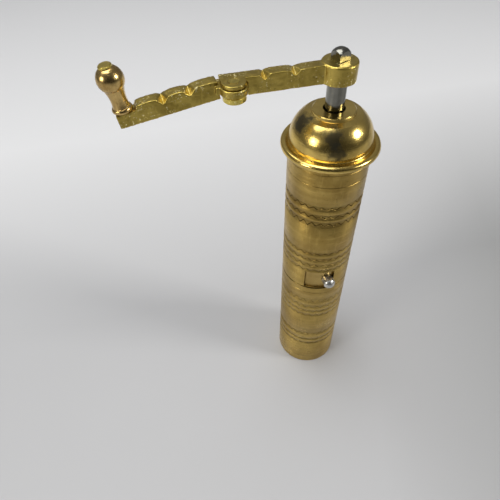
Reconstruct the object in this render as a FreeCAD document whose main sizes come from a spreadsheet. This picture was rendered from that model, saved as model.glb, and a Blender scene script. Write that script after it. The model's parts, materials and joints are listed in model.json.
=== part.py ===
import FreeCAD, Part
import Sketcher
import math
import os
import re

# A slim brass pepper mill with a folding crank.  Millimetres, +Z up.
# Origin: centre of the flat face that the mill stands on.
# The crank's inner arm points along -X, and the locating pin faces -Y.

os.makedirs("parts", exist_ok=True)
doc = FreeCAD.newDocument("PepperMill")

# driving sizes

SIZES = {
    "tubes": {
        "body_radius": 18.5,            # outside of both tubes
        "tube_wall": 1.2,
        "receiver_height": 84.0,        # lower cup that catches the ground pepper
        "barrel_height": 81.2,          # upper tube that holds the peppercorns
        "base_thickness": 1.6,
        "edge_break": 0.35,             # small bevel on the tubes' rims
        "sliding_clearance": 0.15,      # radial, between tubes and what slides in them
        "running_clearance": 0.05,      # radial, between a shaft and its bore
        "resting_gap": 0.1,             # along an axis, between pieces that turn on each other
    },
    "notch and pin": {
        "notch_start": -127.4,          # degrees about Z
        "notch_span": 49.9,
        "notch_height": 13.4,
        "pin_radius": 3.1,
        "pin_lift": 6.4,                # pin axis above the seam
        "pin_stand_out": 4.6,           # pin's tip outside the tubes
        "pin_shank_radius": 2.2,
        "pin_dome": 2.0,
        "pin_side_gap": 0.15,           # pin to the notch's side at its stop
    },
    "lid": {
        "lid_wall": 1.2,
        "flange_overhang": 3.3,         # rolled flange outside the tubes
        "flange_height": 3.0,
        "dome_inset": 0.3,              # dome's foot inside the tubes' outside
        "bulge_inset": 1.75,            # and half-way up the dome
        "dome_bulge_rise": 10.4,
        "dome_shoulder_radius": 12.3,
        "dome_shoulder_rise": 15.75,
        "dish_radius": 10.9,
        "dish_rise": 16.1,
        "dish_end_rise": 16.5,
        "rim_undercut": 0.9,
        "rim_round": 2.3,
        "bead_width": 0.4,
        "boss_radius": 9.0,
        "boss_rise": 17.8,
        "boss_edge": 0.4,
        "lid_hole_gap": 0.7,            # between the shaft and the lid
        "skirt_wall": 0.8,
        "skirt_depth": 7.0,
        "skirt_lap": 1.8,
    },
    "drive shaft": {
        "shaft_radius": 4.0,
        "hub_lift": 12.2,               # hub's underside above the lid's boss
        "tang_side": 5.2,
        "tang_turn": 21.0,              # degrees, of the square about Z
        "tang_rise": 12.3,              # tang's tip above the hub's underside
        "tang_dome": 2.6,
        "burr_seat_radius": 3.0,
        "pilot_radius": 2.5,
    },
    "upper bridge": {
        "bridge_depth": 15.2,           # ring's underside below the barrel's rim
        "bridge_height": 3.0,
        "bridge_rim": 1.5,
        "bridge_strap": 8.0,
        "bridge_boss_radius": 6.6,
        "bush_wall": 1.0,
        "bush_flange": 1.0,
    },
    "burrs": {
        "carrier_rise": 16.0,           # carrier's top above the seam
        "carrier_drop": 12.0,           # and its bottom below the seam
        "carrier_wall": 3.55,
        "carrier_lip": 1.4,
        "carrier_lip_height": 2.0,
        "outer_burr_height": 16.0,
        "outer_burr_wall": 4.6,         # at its narrow top
        "outer_burr_taper": 2.6,        # how much wider its mouth is
        "burr_gap": 1.1,
        "inner_burr_height": 15.0,
        "flute_depth": 0.9,
        "flute_half_width": 0.8,
        "cross_pin_radius": 1.0,
        "cross_pin_half_length": 6.0,
    },
    "lower bridge": {
        "strap_width": 9.0,
        "strap_thickness": 2.5,
        "strap_margin": 0.55,           # strap's ends inside the carrier's outside
        "screw_radius": 1.25,
        "screw_head_radius": 1.7,
        "screw_head_height": 1.4,
        "screw_grip": 6.0,
        "washer_radius": 5.4,
        "washer_thickness": 0.6,
        "spring_radius": 4.2,
        "spring_wire": 0.45,
        "spring_turns": 3.5,
        "nut_radius": 5.6,
        "nut_height": 4.5,
        "lock_nut_radius": 4.6,
        "lock_nut_height": 2.8,
        "thread_tail": 1.2,
    },
    "crank": {
        "hub_radius": 7.2,
        "hub_height": 7.7,
        "hub_edge": 0.5,
        "arm_width": 5.3,
        "arm_height": 7.4,
        "inner_notch_first": 18.0,      # from the mill's axis
        "inner_notch_second": 29.7,
        "inner_notch_depth": 2.4,
        "notch_back_depth": 0.9,        # a notch is filed aslant: shallow at the back of the arm
        "notch_back_half_width": 1.3,
        "hump_crown": 0.35,             # how much a hump's top rises between its shoulders
        "hinge_reach": 41.7,            # hinge axis from the mill's axis
        "hinge_offset": 4.0,            # and its distance in front of the arm's middle
        "knuckle_radius": 4.6,
        "plate_thickness": 1.9,
        "tongue_radius": 5.3,
        "tongue_thickness": 2.7,
        "tongue_clearance": 0.35,
        "rivet_radius": 2.0,
        "rivet_neck_radius": 3.0,
        "rivet_head_radius": 4.5,
        "rivet_head_thickness": 2.5,
        "rivet_neck_height": 0.3,
    },
    "outer arm and knob": {
        "fold_at_rest": 4.5,            # degrees that the outer arm is folded forward
        "droop": 7.0,                   # degrees that it hangs
        "outer_length": 38.2,
        "outer_height": 7.2,
        "outer_offset": 4.5,            # arm's middle behind the hinge axis
        "shoulder_gap": 0.15,
        "outer_notch_first": 10.6,      # from the arm's shoulder
        "outer_notch_second": 20.6,
        "outer_notch_depth": 2.7,
        "seat_margin": 0.3,             # clear of the knob's base before the last hump
        "seat_drop": 1.9,
        "knob_inset": 3.1,              # knob axis from the arm's end
        "knob_base_radius": 3.8,
        "knob_base_rim": 2.0,
        "knob_waist_radius": 3.0,
        "knob_waist_rise": 5.8,
        "knob_neck_radius": 3.75,       # where the waist meets the ball
        "knob_ball_radius": 4.85,
        "knob_ball_rise": 12.1,
        "knob_top_radius": 2.2,         # flat where the ball is cut off
        "stud_radius": 1.25,
        "stud_head_radius": 2.45,
        "stud_head_height": 0.8,
        "stud_head_bevel": 0.35,
    },
}
FLUTES_OUTER = 24
FLUTES_INNER = 16
KNURLS = 30
WIRE_SIDES = 8

sheet = doc.addObject("Spreadsheet::Sheet", "Sizes")
row = 0
for group, entries in SIZES.items():
    for alias, number in entries.items():
        row += 1
        sheet.set("A%d" % row, group)
        sheet.set("B%d" % row, str(number))
        sheet.setAlias("B%d" % row, alias)
doc.recompute()
SIZE_NAMES = {alias for entries in SIZES.values() for alias in entries}

# places worked out from the sizes

SEAM = "receiver_height"
RIM = "(receiver_height + barrel_height)"
BORE = "(body_radius - tube_wall)"
SLEEVE = "(%s - sliding_clearance)" % BORE
CARRIER_BOTTOM = "(%s - carrier_drop)" % SEAM
CARRIER_TOP = "(%s + carrier_rise)" % SEAM
BURR_TOP = "(%s - carrier_lip_height)" % CARRIER_TOP
BURR_BOTTOM = "(%s - outer_burr_height)" % BURR_TOP
CARRIER_BORE = "(%s - carrier_wall)" % SLEEVE
BURR_THROAT = "(%s - outer_burr_wall)" % CARRIER_BORE
BURR_MOUTH = "(%s + outer_burr_taper)" % BURR_THROAT
STRAP_BOTTOM = "(%s - strap_thickness)" % CARRIER_BOTTOM
STRAP_HALF = "(%s - strap_margin)" % SLEEVE
NUT_TOP = "(%s - resting_gap)" % STRAP_BOTTOM
LOCK_NUT_TOP = "(%s - nut_height)" % NUT_TOP
SHAFT_END = "(%s - lock_nut_height - thread_tail)" % LOCK_NUT_TOP
FLANGE = "(body_radius + flange_overhang)"
DOME_FOOT = "(body_radius - dome_inset)"
DOME_BULGE = "(body_radius - bulge_inset)"
LID_HOLE = "(shaft_radius + lid_hole_gap)"
PIN_TIP = "(body_radius + pin_stand_out)"
BRIDGE_BOTTOM = "(%s - bridge_depth)" % RIM
BRIDGE_TOP = "(%s + bridge_height)" % BRIDGE_BOTTOM
BUSH_OUTER = "(shaft_radius + running_clearance + bush_wall)"
HUB_BOTTOM = "(%s + boss_rise + hub_lift)" % RIM
ARM_BOTTOM = HUB_BOTTOM
ARM_TOP = "(%s + arm_height)" % ARM_BOTTOM
PLATE_BOTTOM = "(%s - plate_thickness)" % ARM_TOP
TONGUE_TOP = "(%s - resting_gap)" % PLATE_BOTTOM
TONGUE_BOTTOM = "(%s - tongue_thickness)" % TONGUE_TOP
HEAD_TOP = "(%s - resting_gap - rivet_neck_height)" % TONGUE_BOTTOM
HEAD_BOTTOM = "(%s - rivet_head_thickness)" % HEAD_TOP
SHOULDER = "(knuckle_radius + shoulder_gap)"
SEAT_HEIGHT = "(outer_height - seat_drop)"
SEAT_LENGTH = "(knob_inset + knob_base_radius + seat_margin + seat_drop / 2)"
BALL_FOOT = "(knob_ball_rise - sqrt(knob_ball_radius ^ 2 - knob_neck_radius ^ 2))"
BALL_TOP = "(knob_ball_rise + sqrt(knob_ball_radius ^ 2 - knob_top_radius ^ 2))"


def bound(text):
    # plain size names, turned into ones that read the sheet
    def refer(word):
        name = word.group()
        return "Sizes." + name if name in SIZE_NAMES else name
    return re.sub(r"[a-z][a-z_]*", refer, str(text))


def value(text):
    return float(sheet.evalExpression(bound(text)))


# building helpers

sub_parts = {}


def finished(label, thing):
    thing.Label = label
    sub_parts[label] = thing
    return thing


def bind(thing, **properties):
    for name, text in properties.items():
        thing.setExpression(name.replace("__", "."), bound(text))
    return thing


def origin_plane(body, role):
    return next(feature for feature in body.Origin.OriginFeatures if feature.Role == role)


def outline_sketch(body, name, plane, corners):
    # a corner is (x, y), or (x, y, via_x, via_y) where an arc leaves it
    sketch = body.newObject("Sketcher::SketchObject", name)
    sketch.AttachmentSupport = [(origin_plane(body, plane), "")]
    sketch.MapMode = "FlatFace"
    places = [FreeCAD.Vector(value(corner[0]), value(corner[1]), 0) for corner in corners]
    count = len(corners)
    edges = []
    for index, corner in enumerate(corners):
        start, end = places[index], places[(index + 1) % count]
        if len(corner) == 4:
            via = FreeCAD.Vector(value(corner[2]), value(corner[3]), 0)
            edges.append(sketch.addGeometry(Part.Arc(start, via, end), False))
        else:
            edges.append(sketch.addGeometry(Part.LineSegment(start, end), False))

    def end_at(edge, place):
        first = sketch.getPoint(edge, 1)
        return 1 if first.distanceToPoint(place) < 1e-6 else 2

    def pin_point(edge, point, x_text, y_text):
        for kind, text, axis in (("DistanceX", x_text, -2), ("DistanceY", y_text, -1)):
            number = value(text)
            if text == "0":
                sketch.addConstraint(Sketcher.Constraint("PointOnObject", edge, point, axis))
            else:
                made = sketch.addConstraint(Sketcher.Constraint(kind, -1, 1, edge, point, number))
                sketch.setExpression("Constraints[%d]" % made, bound(text))

    for index, corner in enumerate(corners):
        edge, before = edges[index], edges[index - 1]
        here = places[index]
        sketch.addConstraint(
            Sketcher.Constraint("Coincident", edge, end_at(edge, here), before, end_at(before, here)))
        pin_point(edge, end_at(edge, here), corner[0], corner[1])
        if len(corner) == 4:
            via = sketch.addGeometry(Part.Point(FreeCAD.Vector(value(corner[2]), value(corner[3]), 0)), True)
            pin_point(via, 1, corner[2], corner[3])
            sketch.addConstraint(Sketcher.Constraint("PointOnObject", via, 1, edge))
    return sketch


def turned(label, corners, plane="XZ_Plane", axis="V_Axis"):
    # corners are (radius, height)
    body = doc.addObject("PartDesign::Body", label)
    sketch = outline_sketch(body, label + "_outline", plane, corners)
    turn = body.newObject("PartDesign::Revolution", label + "_turned")
    turn.Profile = sketch
    turn.ReferenceAxis = (sketch, [axis])
    turn.Angle = 360
    sketch.Visibility = False
    doc.recompute()
    return body


def dome_arc(radius, rise):
    # half-way point of a spherical cap: its radius, and its height below the cap's tip
    sphere = "((%s) * (%s) + (%s) * (%s)) / (2 * (%s))" % (radius, radius, rise, rise, rise)
    half = "(%s) / 2" % radius
    below = "(%s - sqrt((%s) * (%s) - (%s) * (%s)))" % (sphere, sphere, sphere, half, half)
    return half, below


def ring_corners(inner, outer, low, high):
    return [(inner, low), (outer, low), (outer, high), (inner, high)]


def fluted(body, corners, count):
    # one straight groove down the whole body, repeated round Z
    before = body.Shape.Volume
    sketch = outline_sketch(body, body.Name + "_flute", "XY_Plane", corners)
    groove = body.newObject("PartDesign::Pocket", body.Name + "_groove")
    groove.Profile = sketch
    groove.Type = "ThroughAll"
    groove.Midplane = True
    doc.recompute()
    pattern = body.newObject("PartDesign::PolarPattern", body.Name + "_flutes")
    pattern.Originals = [groove]
    pattern.Axis = (sketch, ["N_Axis"])
    pattern.Angle = 360
    pattern.Occurrences = count
    body.Tip = pattern
    doc.recompute()
    if body.Shape.Volume >= before:
        raise RuntimeError("the flutes of %s cut nothing" % body.Name)
    return body


def cylinder(name, radius, height, x="0", y="0", z="0"):
    made = doc.addObject("Part::Cylinder", name)
    return bind(made, Radius=radius, Height=height,
                Placement__Base__x=x, Placement__Base__y=y, Placement__Base__z=z)


def box(name, length, width, height, x="0", y="0", z="0"):
    made = doc.addObject("Part::Box", name)
    return bind(made, Length=length, Width=width, Height=height,
                Placement__Base__x=x, Placement__Base__y=y, Placement__Base__z=z)


def lying_cylinder(name, radius, height, x="0", z="0", turn="0"):
    # along +X, then turned about Z
    made = bind(doc.addObject("Part::Cylinder", name), Radius=radius, Height=height)
    place = "create(<<placement>>; create(<<vector>>; (%s) * cos(%s); (%s) * sin(%s); %s); " \
            "create(<<rotation>>; %s; 90; 0))"
    made.setExpression("Placement", bound(place % (x, turn, x, turn, z, turn)))
    return made


def cut(name, base, *tools):
    before = base
    for index, tool in enumerate(tools):
        made = doc.addObject("Part::Cut", name if tool is tools[-1] else "%s_cut_%d" % (name, index))
        made.Base = before
        made.Tool = tool
        doc.recompute()
        if made.Shape.Volume >= before.Shape.Volume - 1e-6:
            raise RuntimeError("%s takes nothing from %s" % (tool.Name, before.Name))
        before = made
    return before


def fuse(name, *pieces):
    made = doc.addObject("Part::MultiFuse", name)
    made.Shapes = list(pieces)
    made.Refine = True
    doc.recompute()
    return made


def square_prism(name, side, height, z):
    made = doc.addObject("Part::Prism", name)
    made.Polygon = 4
    bind(made, Circumradius="(%s) / sqrt(2)" % side, Height=height, Placement__Base__z=z,
         Placement__Rotation__Angle="tang_turn + 45")
    return made


# receiver: the cup that the mill stands on

def receiver():
    tube = turned("receiver_tube_body", [
        (BORE, "0"), ("body_radius - edge_break", "0"), ("body_radius", "edge_break"),
        ("body_radius", "%s - edge_break" % SEAM), ("body_radius - edge_break", SEAM), (BORE, SEAM)])
    finished("receiver_tube", tube)
    base = cylinder("receiver_base_disc", BORE, "base_thickness")
    finished("receiver_base", base)


# barrel: the tube for the peppercorns, and the bridge that guides the shaft

def barrel():
    tube = turned("barrel_tube_body", [
        (BORE, SEAM), ("body_radius - edge_break", SEAM), ("body_radius", "%s + edge_break" % SEAM),
        ("body_radius", RIM), (BORE, RIM)])
    notch = cylinder("pin_notch", "body_radius + tube_wall", "notch_height + tube_wall",
                     z="%s - tube_wall" % SEAM)
    bind(notch, Angle="notch_span", Placement__Rotation__Angle="notch_start")
    finished("barrel_tube", cut("barrel_with_notch", tube, notch))

    ring = turned("upper_bridge_ring", ring_corners(
        "%s - bridge_rim" % BORE, BORE, BRIDGE_BOTTOM, BRIDGE_TOP))
    half = "(%s - bridge_rim / 2)" % BORE
    strap = box("upper_bridge_strap", "2 * " + half, "bridge_strap", "bridge_height",
                x="-" + half, y="-bridge_strap / 2", z=BRIDGE_BOTTOM)
    boss = cylinder("upper_bridge_boss", "bridge_boss_radius", "bridge_height", z=BRIDGE_BOTTOM)
    hole = cylinder("upper_bridge_hole", BUSH_OUTER, "3 * bridge_height",
                    z="%s - bridge_height" % BRIDGE_BOTTOM)
    finished("upper_bridge", cut("upper_bridge_cast", fuse("upper_bridge_blank", ring, strap, boss), hole))

    inner = "shaft_radius + running_clearance"
    flange = "%s + bush_flange" % BUSH_OUTER
    flange_top = "%s + bush_flange" % BRIDGE_TOP
    finished("bridge_bush", turned("bridge_bush_body", [
        (inner, BRIDGE_BOTTOM), (BUSH_OUTER, BRIDGE_BOTTOM), (BUSH_OUTER, BRIDGE_TOP),
        (flange, BRIDGE_TOP), (flange, flange_top), (inner, flange_top)]))


# lid: a domed cap with a rolled flange, and a sleeve that drops into the barrel

def lid():
    def up(rise):
        return "%s + %s" % (RIM, rise)

    inner_top = "dome_shoulder_rise - lid_wall"
    finished("lid_dome", turned("lid_dome_body", [
        (SLEEVE, RIM),
        (FLANGE + " - rim_undercut", RIM, FLANGE, up("flange_height * 0.45")),
        (FLANGE + " - rim_round", up("flange_height")),
        (DOME_FOOT + " + bead_width", up("flange_height - bead_width")),
        (DOME_FOOT + " + bead_width / 2", up("flange_height + bead_width / 2")),
        (DOME_FOOT, up("flange_height + bead_width"), DOME_BULGE, up("dome_bulge_rise")),
        ("dome_shoulder_radius", up("dome_shoulder_rise"), "dish_radius", up("dish_rise")),
        ("boss_radius + boss_edge", up("dish_end_rise")),
        ("boss_radius + boss_edge / 2", up("boss_rise - boss_edge")),
        ("boss_radius - boss_edge / 2", up("boss_rise")),
        (LID_HOLE, up("boss_rise")),
        (LID_HOLE, up(inner_top)),
        ("dome_shoulder_radius - lid_wall", up(inner_top),
         DOME_BULGE + " - lid_wall * 0.9", up("dome_bulge_rise - lid_wall * 0.6")),
        (SLEEVE, up("flange_height"))]))
    finished("lid_skirt", turned("lid_skirt_body", ring_corners(
        "%s - skirt_wall" % SLEEVE, SLEEVE, "%s - skirt_depth" % RIM, up("skirt_lap"))))


# burr carrier: holds the outer burr, the lower bridge and the locating pin

PIN_TURN = "(notch_start + notch_span - asin((pin_radius + pin_side_gap) / body_radius) / (1 deg))"
PIN_HEIGHT = "(%s + pin_lift)" % SEAM
PIN_ROOT = "(%s + 0.4)" % CARRIER_BORE


def burr_carrier():
    lip = "%s - carrier_lip" % CARRIER_BORE
    blank = turned("burr_carrier_ring", [
        (CARRIER_BORE, CARRIER_BOTTOM), (SLEEVE, CARRIER_BOTTOM), (SLEEVE, CARRIER_TOP),
        (lip, CARRIER_TOP), (lip, BURR_TOP), (CARRIER_BORE, BURR_TOP)])
    pin_hole = lying_cylinder("pin_hole", "pin_shank_radius", "carrier_wall", x=PIN_ROOT, z=PIN_HEIGHT,
                              turn=PIN_TURN)
    screw_place = "(%s + %s) / 2" % (CARRIER_BORE, SLEEVE)
    screw_holes = [
        cylinder("screw_hole_%d" % side, "screw_radius", "screw_grip", z=CARRIER_BOTTOM,
                 x="%d * %s" % (sign, screw_place))
        for side, sign in enumerate((-1, 1))]
    finished("burr_carrier", cut("burr_carrier_drilled", blank, pin_hole, *screw_holes))

    seat = "%s + pin_side_gap" % SLEEVE
    half, below = dome_arc("pin_radius", "pin_dome")
    pin = turned("locating_pin_body", [
        (PIN_ROOT, "0"), (PIN_ROOT, "pin_shank_radius"), (seat, "pin_shank_radius"), (seat, "pin_radius"),
        (PIN_TIP + " - pin_dome", "pin_radius", PIN_TIP + " - " + below, half),
        (PIN_TIP, "0")], plane="XY_Plane", axis="H_Axis")
    bind(pin, Placement__Base__z=PIN_HEIGHT, Placement__Rotation__Angle=PIN_TURN)
    finished("locating_pin", pin)

    outer = turned("outer_burr_body", [
        (BURR_MOUTH, BURR_BOTTOM), (CARRIER_BORE, BURR_BOTTOM), (CARRIER_BORE, BURR_TOP),
        (BURR_THROAT, BURR_TOP)])
    finished("outer_burr", fluted(outer, [
        ("%s - flute_depth" % BURR_THROAT, "-flute_half_width"),
        ("%s + flute_depth" % BURR_MOUTH, "0"),
        ("%s - flute_depth" % BURR_THROAT, "flute_half_width")], FLUTES_OUTER))

    strap = box("lower_bridge_strap", "2 * " + STRAP_HALF, "strap_width", "strap_thickness",
                x="-" + STRAP_HALF, y="-strap_width / 2", z=STRAP_BOTTOM)
    pilot_hole = cylinder("pilot_hole", "pilot_radius + running_clearance", "3 * strap_thickness",
                          z="%s - strap_thickness" % STRAP_BOTTOM)
    strap_holes = [
        cylinder("strap_hole_%d" % side, "screw_radius", "3 * strap_thickness",
                 z="%s - strap_thickness" % STRAP_BOTTOM, x="%d * %s" % (sign, screw_place))
        for side, sign in enumerate((-1, 1))]
    round_end = cylinder("lower_bridge_round", STRAP_HALF, "strap_thickness", z=STRAP_BOTTOM)
    rounded = doc.addObject("Part::Common", "lower_bridge_rounded")
    rounded.Base = strap
    rounded.Tool = round_end
    doc.recompute()
    finished("lower_bridge", cut("lower_bridge_drilled", rounded, pilot_hole, *strap_holes))

    screws = []
    for side, sign in enumerate((-1, 1)):
        place = "%d * %s" % (sign, screw_place)
        shank = cylinder("screw_shank_%d" % side, "screw_radius", "screw_grip + strap_thickness",
                         x=place, z=STRAP_BOTTOM)
        head = cylinder("screw_head_%d" % side, "screw_head_radius", "screw_head_height",
                        x=place, z="%s - screw_head_height" % STRAP_BOTTOM)
        screws.append(fuse("bridge_screw_%d" % side, shank, head))
    group = doc.addObject("Part::Compound", "bridge_screw_pair")
    group.Links = screws
    finished("bridge_screws", group)

    finished("spring_washer", turned("spring_washer_body", ring_corners(
        "pilot_radius + running_clearance", "washer_radius", CARRIER_BOTTOM,
        "%s + washer_thickness" % CARRIER_BOTTOM)))


def pressure_spring():
    # pushes the inner burr up from the lower bridge
    wire = value("spring_wire")
    radius = value("spring_radius")
    low = value("%s + washer_thickness + spring_wire" % CARRIER_BOTTOM) + 0.02
    high = value("%s - resting_gap - spring_wire" % INNER_BOTTOM)
    pitch = (high - low) / value("spring_turns")
    path = Part.Wire(Part.makeHelix(pitch, high - low, radius).Edges)
    turns = [math.radians(360 * (side + 0.5) / WIRE_SIDES) for side in range(WIRE_SIDES + 1)]
    section = Part.makePolygon([
        FreeCAD.Vector(radius + wire * math.cos(turn), 0, wire * math.sin(turn)) for turn in turns])
    coil = path.makePipeShell([section], True, True)
    spring = doc.addObject("Part::Feature", "pressure_spring_coil")
    spring.Shape = coil
    spring.Placement = FreeCAD.Placement(FreeCAD.Vector(0, 0, low), FreeCAD.Rotation())
    finished("pressure_spring", spring)


# drive: the shaft, the inner burr and its adjusting nut

INNER_BOTTOM = BURR_BOTTOM
INNER_TOP = "(%s + inner_burr_height)" % INNER_BOTTOM
SLOPE = "(outer_burr_taper / outer_burr_height)"
INNER_WIDE = "(%s - burr_gap)" % BURR_MOUTH
INNER_NARROW = "(%s - inner_burr_height * %s)" % (INNER_WIDE, SLOPE)
CROSS_PIN_HEIGHT = "(%s + inner_burr_height / 2)" % INNER_BOTTOM


def drive():
    tip = "%s + tang_rise" % HUB_BOTTOM
    half, below = dome_arc("shaft_radius", "tang_dome")
    blank = turned("drive_shaft_round", [
        ("0", SHAFT_END), ("pilot_radius", SHAFT_END), ("pilot_radius", INNER_BOTTOM),
        ("burr_seat_radius", INNER_BOTTOM), ("burr_seat_radius", INNER_TOP), ("shaft_radius", INNER_TOP),
        ("shaft_radius", "%s - tang_dome" % tip, half, "%s - %s" % (tip, below)),
        ("0", tip)])
    sleeve = cylinder("tang_sleeve", "2 * shaft_radius", "2 * tang_rise", z=HUB_BOTTOM)
    square = square_prism("tang_square", "tang_side", "4 * tang_rise", "%s - tang_rise" % HUB_BOTTOM)
    around = cut("tang_surround", sleeve, square)
    pin_hole = lying_cylinder("shaft_pin_hole", "cross_pin_radius", "2 * cross_pin_half_length",
                              x="-cross_pin_half_length", z=CROSS_PIN_HEIGHT)
    finished("drive_shaft", cut("drive_shaft_milled", blank, around, pin_hole))

    cone = turned("inner_burr_cone", [
        ("burr_seat_radius", INNER_BOTTOM), (INNER_WIDE, INNER_BOTTOM), (INNER_NARROW, INNER_TOP),
        ("burr_seat_radius", INNER_TOP)])
    cone = fluted(cone, [
        ("%s - flute_depth" % INNER_NARROW, "0"),
        ("%s + flute_depth" % INNER_WIDE, "flute_half_width * 2"),
        ("%s + flute_depth" % INNER_WIDE, "-flute_half_width * 2")], FLUTES_INNER)
    burr_hole = lying_cylinder("burr_pin_hole", "cross_pin_radius", "2 * cross_pin_half_length",
                               x="-cross_pin_half_length", z=CROSS_PIN_HEIGHT)
    finished("inner_burr", cut("inner_burr_drilled", cone, burr_hole))
    finished("burr_cross_pin", lying_cylinder("cross_pin", "cross_pin_radius", "2 * cross_pin_half_length",
                                              x="-cross_pin_half_length", z=CROSS_PIN_HEIGHT))

    nut = turned("adjusting_nut_body", [
        ("pilot_radius", LOCK_NUT_TOP), ("nut_radius - edge_break", LOCK_NUT_TOP),
        ("nut_radius", "%s + edge_break" % LOCK_NUT_TOP), ("nut_radius", "%s - edge_break" % NUT_TOP),
        ("nut_radius - edge_break", NUT_TOP), ("pilot_radius", NUT_TOP)])
    finished("adjusting_nut", fluted(nut, [
        ("nut_radius - edge_break", "0"), ("nut_radius + edge_break", "edge_break"),
        ("nut_radius + edge_break", "-edge_break")], KNURLS))

    hexagon = doc.addObject("Part::Prism", "lock_nut_hexagon")
    hexagon.Polygon = 6
    bind(hexagon, Circumradius="lock_nut_radius", Height="lock_nut_height",
         Placement__Base__z="%s - lock_nut_height" % LOCK_NUT_TOP)
    thread = cylinder("lock_nut_thread", "pilot_radius", "3 * lock_nut_height",
                      z="%s - 2 * lock_nut_height" % LOCK_NUT_TOP)
    finished("lock_nut", cut("lock_nut_tapped", hexagon, thread))


# crank: hub and inner arm, hinge rivet, outer arm, knob

def slant_notch(name, place, crown, depth):
    # a square bar on edge across the arm, lower at the front
    lean = "(atan((%s - notch_back_depth) / arm_width))" % depth
    half = "(arm_width + %s)" % depth
    tool = doc.addObject("Part::Prism", name)
    tool.Polygon = 4
    tool.Placement = FreeCAD.Placement(FreeCAD.Vector(), FreeCAD.Rotation(FreeCAD.Vector(1, 0, 0), 1))
    y = "-arm_width / 2 - %s * sin(%s) + 2 * arm_width * cos(%s)" % (half, lean, lean)
    z = "%s - %s + %s * cos(%s) + 2 * arm_width * sin(%s)" % (crown, depth, half, lean, lean)
    return bind(tool, Circumradius=half, Height="4 * arm_width", Placement__Base__x="-" + place,
                Placement__Base__y=y, Placement__Base__z=z,
                Placement__Rotation__Angle="90 + %s / (1 deg)" % lean)


def scalloped_bar(name, start, end, base, height, notches, depth, seat=None):
    # along -X, with a row of low humps and V notches on top
    shoulder = "(%s + %s - hump_crown)" % (base, height)
    crown = "(%s + %s)" % (base, height)
    corners = [("-(%s)" % end, base), ("-(%s)" % start, base)]
    near = "(%s)" % start
    for notch in notches:
        far = "(%s - notch_back_half_width)" % notch
        corners.append(("-" + near, shoulder, "-(%s + %s) / 2" % (near, far), crown))
        corners.append(("-" + far, shoulder))
        corners.append(("-" + notch, "%s - notch_back_depth" % crown))
        near = "(%s + notch_back_half_width)" % notch
    if seat is None:
        corners.append(("-" + near, shoulder))
        corners.append(("-(%s)" % end, shoulder))
    else:
        far = "(%s - %s)" % (end, seat)
        low = "%s + %s - seat_drop" % (base, height)
        corners.append(("-" + near, shoulder, "-(%s + %s) / 2" % (near, far), crown))
        corners.append(("-" + far, shoulder))
        corners.append(("-(%s + seat_drop / 2)" % far, low))
        corners.append(("-(%s)" % end, low))
    body = doc.addObject("PartDesign::Body", name)
    sketch = outline_sketch(body, name + "_outline", "XZ_Plane", corners)
    bar = body.newObject("PartDesign::Pad", name + "_bar")
    bar.Profile = sketch
    bar.Midplane = True
    bar.setExpression("Length", bound("arm_width"))
    doc.recompute()
    filed = [slant_notch("%s_%s" % (name, notch), notch, crown, depth) for notch in notches]
    return cut(name + "_filed", body, *filed)


def crank_inner_arm():
    plate_end = "(hinge_reach + knuckle_radius)"
    bar = scalloped_bar("inner_arm_bar", "hub_radius / 2", plate_end, ARM_BOTTOM, "arm_height",
                        ["inner_notch_first", "inner_notch_second"], "inner_notch_depth")
    hub = turned("crank_hub", [
        ("0", HUB_BOTTOM), ("hub_radius", HUB_BOTTOM),
        ("hub_radius", "%s + hub_height - hub_edge" % HUB_BOTTOM),
        ("hub_radius - hub_edge", "%s + hub_height" % HUB_BOTTOM), ("0", "%s + hub_height" % HUB_BOTTOM)])
    plate_top = "(%s - hump_crown)" % ARM_TOP
    knuckle = cylinder("knuckle_round", "knuckle_radius", "%s - %s" % (plate_top, PLATE_BOTTOM),
                       x="-hinge_reach", y="-hinge_offset", z=PLATE_BOTTOM)
    plate = box("knuckle_plate", "2 * knuckle_radius", "hinge_offset", "%s - %s" % (plate_top, PLATE_BOTTOM),
                x="-" + plate_end, y="-hinge_offset", z=PLATE_BOTTOM)
    blank = fuse("inner_arm_blank", bar, hub, knuckle, plate)

    reach = "(tongue_radius + tongue_clearance)"
    depth = "%s - %s + arm_height" % (PLATE_BOTTOM, ARM_BOTTOM)
    low = "%s - arm_height" % ARM_BOTTOM
    slot_round = cylinder("tongue_slot_round", reach, depth, x="-hinge_reach", y="-hinge_offset", z=low)
    slot_open = box("tongue_slot_open", "2 * " + reach, "4 * arm_width", depth,
                    x="-(hinge_reach + 2 * %s)" % reach, y="-2 * arm_width", z=low)
    rivet_hole = cylinder("inner_rivet_hole", "rivet_radius", "2 * arm_height",
                          x="-hinge_reach", y="-hinge_offset", z=ARM_BOTTOM)
    socket = square_prism("tang_socket", "tang_side + 2 * running_clearance", "3 * hub_height",
                          "%s - hub_height" % HUB_BOTTOM)
    finished("crank_inner_arm", cut("inner_arm_milled", blank, slot_round, slot_open, rivet_hole, socket))

    rivet = turned("hinge_rivet_body", [
        ("0", HEAD_BOTTOM), ("rivet_head_radius - edge_break", HEAD_BOTTOM),
        ("rivet_head_radius", "%s + edge_break" % HEAD_BOTTOM),
        ("rivet_head_radius", "%s - edge_break" % HEAD_TOP),
        ("rivet_head_radius - edge_break", HEAD_TOP), ("rivet_neck_radius", HEAD_TOP),
        ("rivet_neck_radius", "%s - resting_gap" % TONGUE_BOTTOM),
        ("rivet_radius", "%s - resting_gap" % TONGUE_BOTTOM),
        ("rivet_radius", plate_top), ("0", plate_top)])
    bind(rivet, Placement__Base__x="-hinge_reach", Placement__Base__y="-hinge_offset")
    finished("hinge_rivet", rivet)


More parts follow.
